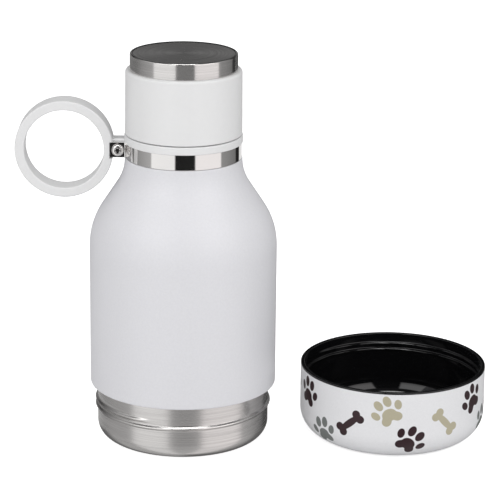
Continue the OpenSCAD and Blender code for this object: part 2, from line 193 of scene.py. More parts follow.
# all other light is plain, and stronger behind, where no lamp stands
around = greys(room, height, [(0, 0.72), (1, 0.4)])
plain = scaled(room, around, span(room, north, 0.0, 0.5, 1.0, 1.55))
mirrored = calc(room, "MAXIMUM", ray["Is Glossy Ray"], ray["Is Transmission Ray"])
light = mix(room, mirrored, plain, in_steel)
backdrop = mix(room, ray["Is Camera Ray"], light, (1, 1, 1, 1))
sky = add(room, "ShaderNodeBackground", {0: backdrop})
add(room, "ShaderNodeOutputWorld", {0: sky.outputs[0]})

lamp_size, lit_spot = 2.0, (0.04, 0, 0.1)
for name, place, power in (
    ("left_lamp", (-1.2, -1.35, 1.5), 19.4),
    ("right_lamp", (1.3, -1.35, 1.5), 21),
):
    lamp = bpy.data.objects.new(name, bpy.data.lights.new(name, "AREA"))
    bpy.context.scene.collection.objects.link(lamp)
    lamp.data.shape = "SQUARE"
    lamp.data.size = lamp_size
    lamp.data.energy = power
    lamp.location = place
    lamp.rotation_mode = "QUATERNION"
    lamp.rotation_quaternion = (Vector(place) - Vector(lit_spot)).to_track_quat("Z", "Y")
    lamp.visible_glossy = False

floor_half = 6.0
floor = bpy.data.objects.new("floor", bpy.data.meshes.new("floor"))
floor.data.from_pydata(
    [(x * floor_half, y * floor_half, 0) for x, y in ((-1, -1), (1, -1), (1, 1), (-1, 1))],
    [], [(0, 1, 2, 3)],
)
bpy.context.scene.collection.objects.link(floor)
floor.visible_glossy = False
paper = bpy.data.materials.new("white_paper")
paper.use_nodes = True
tree = paper.node_tree
tree.nodes.clear()
paint = add(tree, "ShaderNodeBsdfDiffuse", {0: (0.82, 0.82, 0.82, 1)})
to_camera = add(tree, "ShaderNodeLightPath").outputs["Is Camera Ray"]
glow = add(tree, "ShaderNodeEmission", {1: calc(tree, "MULTIPLY", to_camera, 0.68)})
both = add(tree, "ShaderNodeAddShader", {0: paint.outputs[0], 1: glow.outputs[0]})
add(tree, "ShaderNodeOutputMaterial", {0: both.outputs[0]})
floor.data.materials.append(paper)


# The base: a cup drawn from stainless sheet and turned bright on a lathe, welded into the
# painted wall. A thread is rolled into it for the bowl: one ridge that winds one and a third
# times, and climbs by 3.6 mm in a turn.
def arc(centre, radius, start, end, steps=16):
    """Points (r, z) on an arc about a centre, from a start to an end angle in degrees."""
    angle = np.radians(np.linspace(start, end, steps + 1))
    return np.column_stack(
        (centre[0] + radius * np.cos(angle), centre[1] + radius * np.sin(angle))
    )


def rounded(corners, steps=8):
    """A profile through corners (r, z, radius), each of which becomes an arc.

    The arc touches both sides: its centre is on the bisector, at radius / sin(half angle).
    A point just before and just after it keeps the shading of the flat sides flat.
    """
    places = np.array([corner[:2] for corner in corners], float)
    points = []
    for i, (_, _, radius) in enumerate(corners):
        here = places[i]
        if radius == 0:
            points.append(here[None])
            continue
        before = places[i - 1] - here
        after = places[(i + 1) % len(places)] - here
        before, after = before / np.hypot(*before), after / np.hypot(*after)
        half = math.acos(np.clip(before @ after, -1, 1)) / 2
        reach = radius / math.tan(half)
        bisector = (before + after) / np.hypot(*(before + after))
        centre = here + bisector * radius / math.sin(half)
        first, last = here + before * reach, here + after * reach
        start = math.atan2(*(first - centre)[::-1])
        sweep = (math.atan2(*(last - centre)[::-1]) - start + math.pi) % (2 * math.pi) - math.pi
        bend = arc(centre, radius, math.degrees(start), math.degrees(start + sweep), steps)
        margin = radius * 0.15
        points += [(first + before * margin)[None], bend, (last + after * margin)[None]]
    return np.vstack(points)


def finer(profile, low, high, step):
    """The profile with its upright sides between two heights divided into short steps."""
    points = []
    for here, following in zip(profile, np.roll(profile, -1, axis=0)):
        points.append(here[None])
        upright = abs(here[0] - following[0]) < 1e-6
        if upright and max(here[1], following[1]) > low and min(here[1], following[1]) < high:
            z0, z1 = np.clip([here[1], following[1]], low, high)
            z = np.linspace(z0, z1, int(abs(z1 - z0) / step) + 2)
            points.append(np.column_stack((np.full(len(z), here[0]), z)))
    profile = np.vstack(points)
    return profile[np.hypot(*(profile - np.roll(profile, 1, axis=0)).T) > 1e-6]


def smooth(piece, angle=38):
    """Shades a piece smooth, but for edges sharper than an angle in degrees."""
    piece.data.polygons.foreach_set("use_smooth", [True] * len(piece.data.polygons))
    piece.data.set_sharp_from_angle(angle=math.radians(angle))


def surface(name, grid, across, along, loop):
    """A closed mesh over a grid of points in millimetres, whose rows close round.

    The last row joins the first one if loop is true, and otherwise both end rows are filled.
    across and along place the columns and rows, and the column and row after the last, on the
    piece's map, in metres.
    """
    rows, columns = grid.shape[:2]
    i = np.arange(rows if loop else rows - 1)[:, None]
    j = np.arange(columns)[None]
    below, beside = (i + 1) % rows, (j + 1) % columns
    corners = ((i, j), (i, beside), (below, beside), (below, j))
    faces = np.stack([a * columns + b for a, b in corners], axis=-1).reshape(-1, 4).tolist()
    shape = (len(i), columns)
    u = np.stack([np.broadcast_to(across[c], shape) for c in (j, j + 1, j + 1, j)], axis=-1)
    v = np.stack([np.broadcast_to(along[c], shape) for c in (i, i, i + 1, i + 1)], axis=-1)
    spread = np.stack((u, v), axis=-1).reshape(-1, 2)
    if not loop:
        faces += [list(range(columns)), list(range((rows - 1) * columns, rows * columns))]
        spread = np.vstack((spread, np.zeros((2 * columns, 2))))
    mesh = bpy.data.meshes.new(name)
    mesh.from_pydata((grid.reshape(-1, 3) * 0.001).tolist(), [], faces)
    mesh.uv_layers.new(name="unrolled").data.foreach_set("uv", spread.ravel())
    work = bmesh.new()
    work.from_mesh(mesh)
    bmesh.ops.remove_doubles(work, verts=work.verts, dist=1e-7)
    bmesh.ops.recalc_face_normals(work, faces=work.faces)
    work.to_mesh(mesh)
    work.free()
    piece = bpy.data.objects.new(name, mesh)
    bpy.context.scene.collection.objects.link(piece)
    smooth(piece)
    return piece


def lathe(name, profile, turns=192, centre=(0, 0), form=None, lying=None):
    """A profile (r, z) turned about an upright axis: (r sin t, -r cos t, z), t = 0 in front.

    form(t, r, z), if given, is the radius in place of r. A lying piece's axis points from the
    place (x, y, z) along -Y in place of up.
    """
    lengths = np.hypot(*np.diff(profile, axis=0, append=profile[:1]).T)
    along = np.concatenate(([0], np.cumsum(lengths))) * 0.001
    t = np.linspace(-math.pi, math.pi, turns + 1)
    r, z = (np.repeat(values[:, None], turns, axis=1) for values in profile.T)
    angle = np.broadcast_to(t[:-1], r.shape)
    if form:
        r = form(angle, r, z)
    x, y = r * np.sin(angle), -r * np.cos(angle)
    if lying:
        grid = np.stack((lying[0] + x, lying[1] - z, lying[2] + y), axis=-1)
    else:
        grid = np.stack((centre[0] + x, centre[1] + y, z), axis=-1)
    on_axis = profile[0, 0] < 1e-6 and profile[-1, 0] < 1e-6
    across = t * profile[:, 0].max() * 0.001
    return surface(name, grid, across, along, not on_axis)


def ridge(t, z, start, end, low, lead, tall, wide, fade=18):
    """How far a thread's ridge stands out at an angle t and a height z.

    Its middle climbs from low by lead for each turn, from start to end in degrees. At a
    distance d from it, the ridge stands out by tall * cos(pi d / 2 wide) squared.
    """
    most = np.zeros(t.shape)
    for lap in range(-2, 4):
        wound = np.degrees(t) + 360 * lap
        distance = np.clip(np.abs(z - low - lead * (wound - start) / 360) / wide, 0, 1)
        ends = np.clip(np.minimum(wound - start, end - wound) / fade, 0, 1)
        ends = ends * ends * (3 - 2 * ends)
        most = np.maximum(most, tall * np.cos(distance * math.pi / 2) ** 2 * ends)
    return most


def finish(name, colour, roughness, metallic=0.0):
    """A new material, its tree and its shader, with the plain values of its finish set."""
    material = bpy.data.materials.new(name)
    material.use_nodes = True
    shader = material.node_tree.nodes["Principled BSDF"]
    shader.inputs["Base Color"].default_value = (*colour, 1)
    shader.inputs["Roughness"].default_value = roughness
    shader.inputs["Metallic"].default_value = metallic
    return material, material.node_tree, shader


def bump(tree, shader, height, strength, distance):
    """Gives a shader the relief of a height, at a depth in metres."""
    sockets = {"Height": height, "Strength": strength, "Distance": distance}
    tree.links.new(add(tree, "ShaderNodeBump", sockets).outputs[0], shader.inputs["Normal"])


def effect(name, inputs, outputs):
    """A new node group, with the sockets inside it that give its inputs and take its outputs."""
    group = bpy.data.node_groups.new(name, "ShaderNodeTree")
    for side, sockets in (("INPUT", inputs), ("OUTPUT", outputs)):
        for label, kind in sockets.items():
            group.interface.new_socket(label, in_out=side, socket_type="NodeSocket" + kind)
    given, made = group.nodes.new("NodeGroupInput"), group.nodes.new("NodeGroupOutput")
    return group, given.outputs, made.inputs


def grain(tree, place, stretch, detail=3.0):
    """Noise over the first two coordinates of a place, each stretched by its own number."""
    stretched = add(
        tree, "ShaderNodeVectorMath", {0: place, 1: (*stretch, 0)}, operation="MULTIPLY"
    ).outputs[0]
    sockets = {"Vector": stretched, "Scale": 1.0, "Detail": detail}
    return add(tree, "ShaderNodeTexNoise", sockets, noise_dimensions="2D").outputs[0]


# lathe marks: fine rings in three sizes, none of them unbroken all the way round
lathe_marks, given, made = effect(
    "lathe_marks", {"Place": "Vector"}, {"Height": "Float", "Shade": "Float"}
)
fine = grain(lathe_marks, given[0], (60, 16000))
coarse = grain(lathe_marks, given[0], (25, 4200))
broad = grain(lathe_marks, given[0], (12, 900))
rings = calc(lathe_marks, "MULTIPLY", calc(lathe_marks, "ADD", fine, coarse), 0.5)
lathe_marks.links.new(rings, made["Height"])
shade = calc(lathe_marks, "MULTIPLY", calc(lathe_marks, "ADD", rings, broad), 0.5)
lathe_marks.links.new(shade, made["Shade"])


def turned_metal(name, colour, roughness, relief, place=None):
    """Metal with lathe marks, laid by the piece's own map or by a place(tree)."""
    material, tree, shader = finish(name, colour, roughness, 1.0)
    spot = place(tree) if place else add(tree, "ShaderNodeUVMap", uv_map="unrolled").outputs[0]
    marks = add(tree, "ShaderNodeGroup", node_tree=lathe_marks)
    tree.links.new(spot, marks.inputs["Place"])
    dark, pale = ((*(c * k for c in colour), 1) for k in (0.86, 1.12))
    share = span(tree, marks.outputs["Shade"], 0.3, 0.7)
    tree.links.new(mix(tree, share, dark, pale), shader.inputs["Base Color"])
    gloss = span(tree, marks.outputs["Shade"], 0.3, 0.7, roughness * 1.25, roughness * 0.8)
    tree.links.new(gloss, shader.inputs["Roughness"])
    bump(tree, shader, marks.outputs["Height"], 0.35, relief)
    return material


def put(piece, material, body, node):
    """Gives a piece its material and its body, and hides the CAD node it replaces."""
    piece.data.materials.clear()
    piece.data.materials.append(material)
    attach(piece, body)
    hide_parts(node)


wall_r, base_r, base_top = 52, 48, 31.5
sheet, recess, recess_r = 0.5, 1.4, 28.5
lap_r, lap_top = base_r - 0.2, base_top + 4
close = 0.05  # the gap between pieces that are pressed together
bowl_lead = 3.6
cup = rounded([
    (0, recess, 0), (recess_r, recess, 0), (recess_r, 0, 0.3), (base_r, 0, 8.4),
    (base_r, base_top - close, 0), (lap_r, base_top - close, 0), (lap_r, lap_top, 0),
    (base_r - sheet, lap_top, 0), (base_r - sheet, sheet, 7.9),
    (recess_r + sheet, sheet, 0), (recess_r + sheet, recess + sheet, 0),
    (0, recess + sheet, 0),
], 14)


def rolled_out(t, r, z):
    """The base's radius, with the thread on its upright wall."""
    thread = ridge(t, z, -125, 348, low=17.7, lead=bowl_lead, tall=1.25, wide=1.6, fade=25)
    return r + (r > base_r - 0.1) * thread


put(
    lathe("base", finer(cup, 13, 28, 0.2), 384, form=rolled_out),
    turned_metal("turned_base", (0.585, 0.57, 0.56), 0.24, 8e-6),
    "bottle", "base_cup",
)


# The underside: a spun disc closes the recess. Over it, a glass bead seals the hole through
# which the air was drawn out, and a pellet tacked to the base keeps the vacuum.
def about_axis(tree):
    """Where a point lies about the bottle's axis: its x, its y and its radius, in metres."""
    spot = add(tree, "ShaderNodeTexCoord").outputs["Object"]
    x, y, _ = add(tree, "ShaderNodeSeparateXYZ", {0: spot}).outputs
    flat = add(tree, "ShaderNodeCombineXYZ", {0: x, 1: y}).outputs[0]
    radius = add(tree, "ShaderNodeVectorMath", {0: flat}, operation="LENGTH").outputs["Value"]
    return x, y, radius


def round_the_disc(tree):
    """A place on the disc: the way round at a fixed radius, and the radius itself."""
    x, y, radius = about_axis(tree)
    way = calc(tree, "MULTIPLY", calc(tree, "ARCTAN2", x, y), recess_r * 0.001)
    return add(tree, "ShaderNodeCombineXYZ", {0: way, 1: radius}).outputs[0]


def cloudy(name, colour, roughness, scale, contrast, relief, metallic=0.0):
    """A finish that is faintly cloudy in shade, gloss and height, scale clouds to a metre."""
    material, tree, shader = finish(name, colour, roughness, metallic)
    spot = add(tree, "ShaderNodeTexCoord").outputs["Object"]
    sockets = {"Vector": spot, "Scale": scale, "Detail": 4.0}
    cloud = add(tree, "ShaderNodeTexNoise", sockets).outputs[0]
    share = span(tree, cloud, 0.3, 0.7)
    dark, pale = ((*(c * k for c in colour), 1) for k in (1 - contrast, 1 + contrast))
    tree.links.new(mix(tree, share, dark, pale), shader.inputs["Base Color"])
    gloss = span(tree, cloud, 0.3, 0.7, roughness * 0.9, roughness * 1.1)
    tree.links.new(gloss, shader.inputs["Roughness"])
    bump(tree, shader, cloud, 0.4, relief)
    return material


def refinish(node, material):
    """Gives a CAD node a material in place of its own."""
    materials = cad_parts[node].data.materials
    materials.clear()
    materials.append(material)


refinish("base_disc", turned_metal("spun_disc", (0.58, 0.57, 0.56), 0.28, 8e-6, round_the_disc))
refinish("seal_bead", cloudy("solder_glass", (0.2, 0.21, 0.22), 0.12, 900, 0.15, 1e-5))
refinish("getter", cloudy("sintered_pellet", (0.16, 0.16, 0.17), 0.7, 2500, 0.3, 3e-5, 0.6))

# The flask: drawn from thinner sheet, and blasted dull inside. Its mouth is rolled out over
# the wall's upper edge and welded to it there.
shoulder_r, fillet_r = 41, 26
slope = math.radians(33.3)
wall_top, stack_r, ledge_r = 110.7, 32.4, 0.6
drop = wall_r - stack_r - (shoulder_r + fillet_r) * (1 - math.cos(slope))
shoulder_top = wall_top + (shoulder_r + fillet_r) * math.sin(slope) + drop / math.tan(slope)
ledge = shoulder_top + ledge_r
band_low = ledge + 0.1
band_high = band_low + 8.6
collar_top = band_high + 4.3
thread_foot = collar_top + 2
mouth = thread_foot + 22.2
mouth_r, jacket, flask_t, flask_neck_r = 28.0, 4.4, 0.4, 26.7


def shoulder(inset):
    """The shoulder's line, inset from the outside: an arc, a cone and an arc turned up."""
    bend = math.degrees(slope)
    return np.vstack((
        arc((wall_r - shoulder_r, wall_top), shoulder_r - inset, 0, bend, 24),
        arc((stack_r + fillet_r, shoulder_top), fillet_r + inset, 180 + bend, 180, 24),
    ))


def flask_line(inset):
    """The flask's line, inset from its outside, from the middle of the floor up to the neck."""
    low_r, high_r, foot, corner = base_r - jacket, wall_r - jacket, recess + sheet + 9, 12
    step = wall_r - base_r
    return np.vstack((
        [(0, foot + inset)],
        arc((low_r - corner, foot + corner), corner - inset, -90, 0),
        arc((low_r + step, base_top + jacket), step + inset, 180, 120, 8),
        arc((high_r - step, base_top + jacket + step * math.sqrt(3)), step - inset, -60, 0, 8),
        shoulder(jacket + inset),
        [(flask_neck_r - inset, shoulder_top + 2.6)],
    ))


lip = 0.5
flask_in_r = flask_neck_r - flask_t
put(
    lathe("flask", np.vstack((
        flask_line(0),
        [(flask_neck_r, mouth - 2 * lip), (mouth_r, mouth - 2 * lip)],
        arc((mouth_r - lip, mouth - lip), lip, 0, 90, 6),
        arc((flask_in_r + lip, mouth - lip), lip, 90, 180, 6),
        flask_line(flask_t)[::-1],
    ))),
    cloudy("blasted_steel", (0.62, 0.61, 0.6), 0.42, 3000, 0.06, 1e-5, 1.0),
    "bottle", "inner_flask",
)

# The wall: stainless sheet, powder-coated white from the base up to the ledge under the
# clamp. The neck above stays bare, and has the lid's two-start thread rolled into it.
neck_r, neck_step = 29.2, 1
hem_r, past_hem = 0.8, 1.2
wall = np.vstack((
    [(lap_r + close, base_top), (wall_r - past_hem, base_top)],
    arc((wall_r - hem_r, base_top + hem_r), hem_r, -90, 0, 8),
    [(wall_r, base_top + past_hem), (wall_r, wall_top - 4)],
    shoulder(0),
    arc((stack_r - ledge_r, shoulder_top), ledge_r, 0, 90, 6),
    [(stack_r - 0.8, ledge), (neck_r, ledge), (neck_r, thread_foot - neck_step)],
    [(mouth_r, thread_foot), (mouth_r, mouth - 2 * lip), (mouth_r - sheet, mouth - 2 * lip)],
    [(mouth_r - sheet, thread_foot - sheet / 2),
     (neck_r - sheet, thread_foot - neck_step - sheet / 2)],
    [(neck_r - sheet, ledge - sheet), (stack_r - ledge_r, ledge - sheet)],
    shoulder(sheet)[::-1],
    [(wall_r - sheet, base_top + sheet), (lap_r + close, base_top + sheet)],
))
thread_low, thread_lead = thread_foot + 2.5, 10


def two_starts(t, z, low):
    """The height of two ridges, half a turn apart, that each wind one and a half times."""
    return np.maximum(*(
        ridge(t, z, start, start + 540, low, thread_lead, tall=1.0, wide=1.1)
        for start in (-200, -20)
    ))


def neck(t, r, z):
    """The wall's radius, with the thread on the outside of the neck."""
    return r + (np.abs(r - mouth_r) < 0.01) * two_starts(t, z, thread_low)


def orange_peel(tree):
    """A baked powder coat's waviness as a share, and with its finer grain as a height."""
    spot = add(tree, "ShaderNodeTexCoord").outputs["Object"]
    peel = add(tree, "ShaderNodeTexNoise", {"Vector": spot, "Scale": 900.0}).outputs[0]
    grit = add(tree, "ShaderNodeTexNoise", {"Vector": spot, "Scale": 5000.0}).outputs[0]
    return span(tree, peel, 0.3, 0.7), calc(tree, "ADD", peel, calc(tree, "MULTIPLY", grit, 0.25))


powder_low, powder_high = (0.665, 0.663, 0.69, 1), (0.69, 0.688, 0.715, 1)
bare_neck = (0.6, 0.59, 0.58, 1)
powder, tree, shader = finish("powder_coat", powder_low[:3], 0.4)
share, relief = orange_peel(tree)
spot = add(tree, "ShaderNodeTexCoord").outputs["Object"]
up_high = add(tree, "ShaderNodeSeparateXYZ", {0: spot}).outputs["Z"]
bare = calc(tree, "GREATER_THAN", up_high, (ledge - 0.02) * 0.001)
coat = mix(tree, share, powder_low, powder_high)
tree.links.new(mix(tree, bare, coat, bare_neck), shader.inputs["Base Color"])
tree.links.new(bare, shader.inputs["Metallic"])
tree.links.new(span(tree, share, 0, 1, 0.36, 0.44), shader.inputs["Roughness"])
bump(tree, shader, relief, 0.3, 2e-5)
put(
    lathe("wall", finer(wall, thread_foot + 0.5, mouth - 1.5, 0.25), form=neck),
    powder, "bottle", "outer_shell",
)


# The carry loop: ring, tab and collar moulded in one piece of white plastic. The collar sits
# on the ledge round the neck, under the band, and its lip covers the band's upper edge. A
# pocket in each side of the ring makes room for the clamp's ears.
def join(piece, tool, how):
    """Adds a tool's shape to a piece or cuts it away, and takes the tool out of the scene."""
    change = piece.modifiers.new(how, "BOOLEAN")
    change.operation = how
    change.solver = "EXACT"
    change.object = tool
    bpy.context.view_layer.update()
    whole = piece.evaluated_get(bpy.context.evaluated_depsgraph_get())
    shaped = bpy.data.meshes.new_from_object(whole)
    piece.modifiers.clear()
    piece.data = shaped
    bpy.data.objects.remove(tool)


def block(name, x, y, z, bevel=0.0):
    """A box between low and high corners, with a bevel along its two upper edges."""
    outline = [(y[0], z[0]), (y[1], z[0]), (y[1], z[1] - bevel), (y[1] - bevel, z[1]),
               (y[0] + bevel, z[1]), (y[0], z[1] - bevel)]
    grid = np.array([[(end, *point) for point in outline] for end in x], float)
    return surface(name, grid, np.zeros(len(outline) + 1), np.zeros(2), False)


def drill(radius, half=9):
    """A rod along the clamp screw's axis, right through the clamp and the tab."""
    rod = np.array([(0, -half), (radius, -half), (radius, half), (0, half)], float)
    return lathe("drill", rod, 48, lying=(screw_x, 0, band_mid))


band_r, band_t, fold_r = 32.0, 1.0, 1.0
band_mid = (band_low + band_high) / 2
seat_r, lip_r = band_r - band_t - close, stack_r + 0.2
ear_in, ear_tip = 4.2, -(band_r + 8.2)
ear_out = ear_in + band_t
fold_y = ear_out + fold_r
fold_x = -math.sqrt((band_r + fold_r) ** 2 - fold_y**2)
head_r, head_h = 3.4, 2.2
washer_r, washer_t, nut_h, nut_flats = 3.5, 0.8, 3.2, 7
screw_x = fold_x - washer_r - 0.1
hole_r = 2.15
loop_in, loop_out, loop_half, loop_edge = 21.8, 27.1, 7, 0.8
loop_x = -(band_r + 6.3 + loop_out)
loop = lathe(
    "loop",
    rounded([(loop_in, -loop_half, loop_edge), (loop_out, -loop_half, loop_edge),
             (loop_out, loop_half, loop_edge), (loop_in, loop_half, loop_edge)]),
    224, lying=(loop_x, 0, band_mid + 0.3),
)
into_ring, tab_rise, tab_bevel = 3.1, 1.7, 0.6
join(loop, block(
    "tab", (loop_x + loop_out - into_ring, -(neck_r + 1)), (-ear_in, ear_in),
    (band_low, band_high + tab_rise), tab_bevel,
), "UNION")
join(loop, lathe("collar", rounded([
    (neck_r + close, ledge + close, 0), (seat_r, ledge + close, 0),
    (seat_r, band_high + close, 0), (lip_r, band_high + close, 0.3),
    (lip_r, collar_top, 0.7), (neck_r + close, collar_top, 0.2),
])), "UNION")
pocket_l, pocket_side, pocket_gap = 5, 8, 0.3
for side in ((-pocket_side, -ear_in), (ear_in, pocket_side)):
    join(loop, block(
        "pocket", (ear_tip - pocket_gap, ear_tip + pocket_l), side,
        (band_low - pocket_gap, band_high + pocket_gap),
    ), "DIFFERENCE")
join(loop, drill(hole_r), "DIFFERENCE")
smooth(loop, 32)
moulded_white = cloudy("moulded_white", (0.72, 0.72, 0.723), 0.38, 350, 0.008, 1e-5)
put(loop, moulded_white, "bottle", "carry_loop")

# The clamp: a band of polished steel strip, bent round the collar, with both ends folded out
# into ears. A button-head screw, a washer and a nut pull the ears onto the tab.
meets = math.degrees(math.atan2(fold_y, -fold_x))
to_ear = np.linspace(ear_tip, fold_x - 0.1, 8)
half_path = np.vstack((
    np.column_stack((to_ear, np.full(len(to_ear), ear_in + band_t / 2))),
    arc((fold_x, fold_y), fold_r + band_t / 2, -90, -meets, 12),
    arc((0, 0), band_r - band_t / 2, 180 - meets, 0, 110)[1:],
))
path = np.vstack((half_path, half_path[-2::-1] * (1, -1)))
heading = np.gradient(path, axis=0)
heading /= np.hypot(*heading.T)[:, None]
sideways = heading[:, ::-1] * (1, -1)
half_t, half_w = band_t / 2, (band_high - band_low) / 2
section = rounded([(-half_t, -half_w, 0.2), (half_t, -half_w, 0.2),
                   (half_t, half_w, 0.2), (-half_t, half_w, 0.2)], 4)
flat = path[:, None] + sideways[:, None] * section[None, :, :1]
tall = np.broadcast_to(band_mid + section[None, :, 1:], (*flat.shape[:2], 1))
girth = np.cumsum(np.hypot(*np.diff(section, axis=0, append=section[:1]).T))
reach = np.cumsum(np.hypot(*np.diff(path, axis=0).T))
band = surface(
    "band", np.concatenate((flat, tall), axis=-1),
    np.append(0, girth) * 0.001, np.append(0, reach) * 0.001, False,
)
join(band, drill(hole_r), "DIFFERENCE")
smooth(band)
polished = cloudy("polished_steel", (0.74, 0.725, 0.715), 0.06, 60, 0.02, 2e-6, 1.0)
put(band, polished, "bottle", "clamp_band")


screw_r, pitch, thread_end = 2.0, 0.7, -7
socket_r, socket_floor = 1.25, head_h - 1.4
tip = -(ear_out + ear_out + washer_t + nut_h + 0.8)


def hexagon(t, flats):
    """The radius at an angle t of a hexagon that measures flats across its flats."""
    sixth = math.pi / 3
    return flats / 2 / np.cos((t + sixth / 2) % sixth - sixth / 2)


def screw_form(t, r, z):
    """The screw's radius: a hexagon in the socket and a fine groove wound round the shank."""
    in_socket = np.abs(r - socket_r) < 0.01
    on_shank = np.abs(r - screw_r) < 0.01
    groove = 0.2 * (1 - np.cos(2 * math.pi * z / pitch - t)) * on_shank * (z < thread_end)
    return np.where(in_socket, hexagon(t, 2 * socket_r), r) - groove


along_thread = np.linspace(tip + 0.4, thread_end, 110)
quarter = np.linspace(0, math.pi / 2, 14)
screw_line = np.vstack((
    [(0, tip), (screw_r - 0.4, tip)],
    np.column_stack((np.full(len(along_thread), screw_r), along_thread)),
    [(screw_r, 0), (head_r - 0.12, 0), (head_r, 0.12)],
    np.column_stack((
        head_r - 1.75 * (1 - np.cos(quarter)), 0.5 + (head_h - 0.5) * np.sin(quarter)
    )),
    [(1.46, head_h), (socket_r, head_h - 0.12), (socket_r, socket_floor), (0, socket_floor)],
))
put(
    lathe("screw", screw_line, 96, form=screw_form, lying=(screw_x, -ear_out, band_mid)),
    polished, "bottle", "clamp_screw",
)
washer_y = ear_out + washer_t
put(
    lathe(
        "washer",
        rounded([(hole_r, 0, 0), (washer_r, 0, 0.12),
                 (washer_r, washer_t, 0.12), (hole_r, washer_t, 0)], 3),
        72, lying=(screw_x, washer_y, band_mid),
    ),
    polished, "bottle", "clamp_washer",
)
nut_hole, nut_face_r, past_corners = screw_r + close, 3.4, 4.1
rim = np.linspace(0.02, 0.7, 9)
side = np.append(rim, nut_h - rim[::-1])
nut_line = np.vstack((
    [(nut_hole, 0), (nut_face_r, 0)],
    np.column_stack((np.full(len(side), past_corners), side)),
    [(nut_face_r, nut_h), (nut_hole, nut_h)],
))


def nut_form(t, r, z):
    """The nut's radius: a hexagon whose corners a cone has cut off at both ends."""
    cone = nut_face_r + 1.7 * np.minimum(z, nut_h - z)
    return np.where(r > 4, np.minimum(hexagon(t, nut_flats), cone), r)


put(
    lathe("nut", nut_line, 96, form=nut_form, lying=(screw_x, washer_y + nut_h, band_mid)),
    polished, "bottle", "clamp_nut",
)

# The lid's sleeve: a white moulding with a slight draft and a rounded upper edge. A boss in
# its middle carries the steel cap.
lid_low = collar_top + 0.5
lid_high = lid_low + 35.6
cap_top = lid_high + 9.1
sleeve_r, sleeve_top_r, sleeve_in = 32.2, 32.0, 30.35
cap_r, cap_t, cap_edge = 29.5, 0.6, 0.9
boss_r = cap_r - cap_t - close
boss_in, boss_top = boss_r - 1.6, cap_top - cap_t - close
put(
    lathe("sleeve", rounded([
        (sleeve_in, lid_low, 0.2), (sleeve_r, lid_low, 0.4), (sleeve_top_r, lid_high, 1.5),
        (cap_r + close, lid_high, 0), (cap_r + close, lid_high - 1, 0), (boss_r, lid_high - 1, 0),
        (boss_r, boss_top - cap_edge, 0), (boss_r - cap_edge, boss_top, 0),
        (boss_in, boss_top, 0), (boss_in, lid_high - 2.4, 0), (sleeve_in, lid_high - 2.4, 0),
    ])),
    moulded_white, "lid", "lid_sleeve",
)

# The lid's core: a second moulding, welded into the sleeve. It has the thread, the ceiling
# over the seal ring, and the plug. A puck of foam fills the plug and the boss.
core_r, plug_r, core_t = 29.35, 25.8, 1.4
ceiling_low = mouth + 0.3 + 2 + 0.3
core_low, plug_low = lid_low + 1.2, mouth - 11
core = rounded([
    (0, plug_low, 0), (plug_r, plug_low, 2), (plug_r, ceiling_low, 0), (core_r, ceiling_low, 0),
    (core_r, core_low, 0.5), (sleeve_in - close, core_low, 0.2),
    (sleeve_in - close, ceiling_low + core_t, 0), (plug_r - core_t, ceiling_low + core_t, 0),
    (plug_r - core_t, plug_low + core_t, 0), (0, plug_low + core_t, 0),
])


def skirt(t, r, z):
    """The core's radius, with ridges inside the skirt that run between those of the neck."""
    inside = (np.abs(r - core_r) < 0.01) & (z > core_low + 0.6)
    return r - inside * two_starts(t, z, thread_low + 2.4)


put(
    lathe("core", finer(core, core_low + 1, ceiling_low - 1, 0.25), form=skirt),
    cloudy("core_plastic", (0.70, 0.70, 0.72), 0.35, 350, 0.01, 1e-5),
    "lid", "lid_core",
)
refinish("lid_foam", cloudy("moulded_foam", (0.86, 0.84, 0.78), 0.9, 1100, 0.06, 2e-4))

# The lid's cap: stainless sheet drawn into a shallow cup, turned bright, and pressed over the
# boss. A fine rim runs round its sunk face, and the step between them gets painted shade.
face_r, sunk, step_w = cap_r - cap_edge - 0.33, 0.25, 0.425
cap_low = lid_high - 0.9
turned_steel = turned_metal("turned_steel", (0.645, 0.63, 0.62), 0.17, 8e-6)
tree = turned_steel.node_tree
shader = tree.nodes["Principled BSDF"]
# the lathe marks blur what the cap mirrors across them, and far less along them
shader.inputs["Anisotropic"].default_value = 0.75
shader.inputs["Anisotropic Rotation"].default_value = 0.25
along_marks = add(tree, "ShaderNodeTangent", direction_type="RADIAL", axis="Z")
tree.links.new(along_marks.outputs[0], shader.inputs["Tangent"])
# painted shade: a near-black ring in the colour, on the step between the rim and the sunk face,
# stands in for the shade in that groove
_, _, radius = about_axis(tree)
off_step = calc(
    tree, "ABSOLUTE", calc(tree, "SUBTRACT", radius, (face_r - step_w / 2) * 0.001)
)
painted_step_shade = span(tree, off_step, 0.0002, 0.0004, 1.0, 0.0)
bright = shader.inputs["Base Color"].links[0].from_socket
tree.links.new(mix(tree, painted_step_shade, bright, (0.02, 0.02, 0.02, 1)), shader.inputs["Base Color"])
put(
    lathe("cap", rounded([
        (0, cap_top - cap_t, 0), (boss_r - cap_edge, cap_top - cap_t, 0),
        (cap_r - cap_t, cap_top - cap_t - cap_edge, 0), (cap_r - cap_t, cap_low, 0),
        (cap_r, cap_low, 0), (cap_r, cap_top, cap_edge), (face_r, cap_top, 0.1),
        (face_r - step_w, cap_top - sunk, 0.1), (0, cap_top - sunk, 0),
    ]), 256),
    turned_steel, "lid", "lid_cap",
)

# The seal ring: grey silicone with rounded edges, pressed between the lid and the mouth.
ring_low = mouth + 0.3
put(
    lathe("seal_ring", rounded([
        (plug_r + 0.3, ring_low, 0.4), (mouth_r - 0.2, ring_low, 0.4),
        (mouth_r - 0.2, ring_low + 2, 0.4), (plug_r + 0.3, ring_low + 2, 0.4),
    ])),
    cloudy("silicone", (0.33, 0.33, 0.33), 0.5, 1500, 0.04, 1e-5),
    "lid_seal", "lid_gasket",
)


